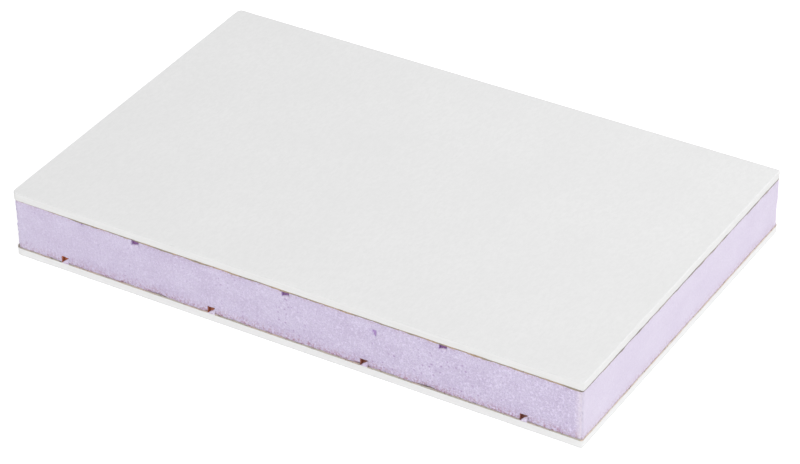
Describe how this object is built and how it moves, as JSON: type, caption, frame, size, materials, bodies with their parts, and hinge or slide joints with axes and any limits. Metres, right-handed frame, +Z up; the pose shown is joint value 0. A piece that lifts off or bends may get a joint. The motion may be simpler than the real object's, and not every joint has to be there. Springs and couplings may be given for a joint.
{
  "type": "faced foam insulation board",
  "caption": "Rigid lilac foam board glued between white plastic sheets, with narrow venting grooves across both faces of the foam.",
  "frame": {"origin": "middle of the board's underside, at the centre of its box in plan", "axes": "+X along the length, +Y along the width, which is the way the grooves run, +Z up from the bottom skin to the top skin"},
  "size_m": [0.224, 0.145, 0.026],
  "materials": {
    "skin": "white rigid plastic sheet, satin, faintly mottled",
    "foam": "lilac extruded polystyrene foam, sawn edges, matte",
    "glue": "thin dark brown glue, cured"
  },
  "bodies": {
    "root": {"bottom_skin": "skin", "lower_glue_film": "glue", "foam_core": "foam", "upper_glue_film": "glue", "top_skin": "skin"}
  },
  "joints": []
}
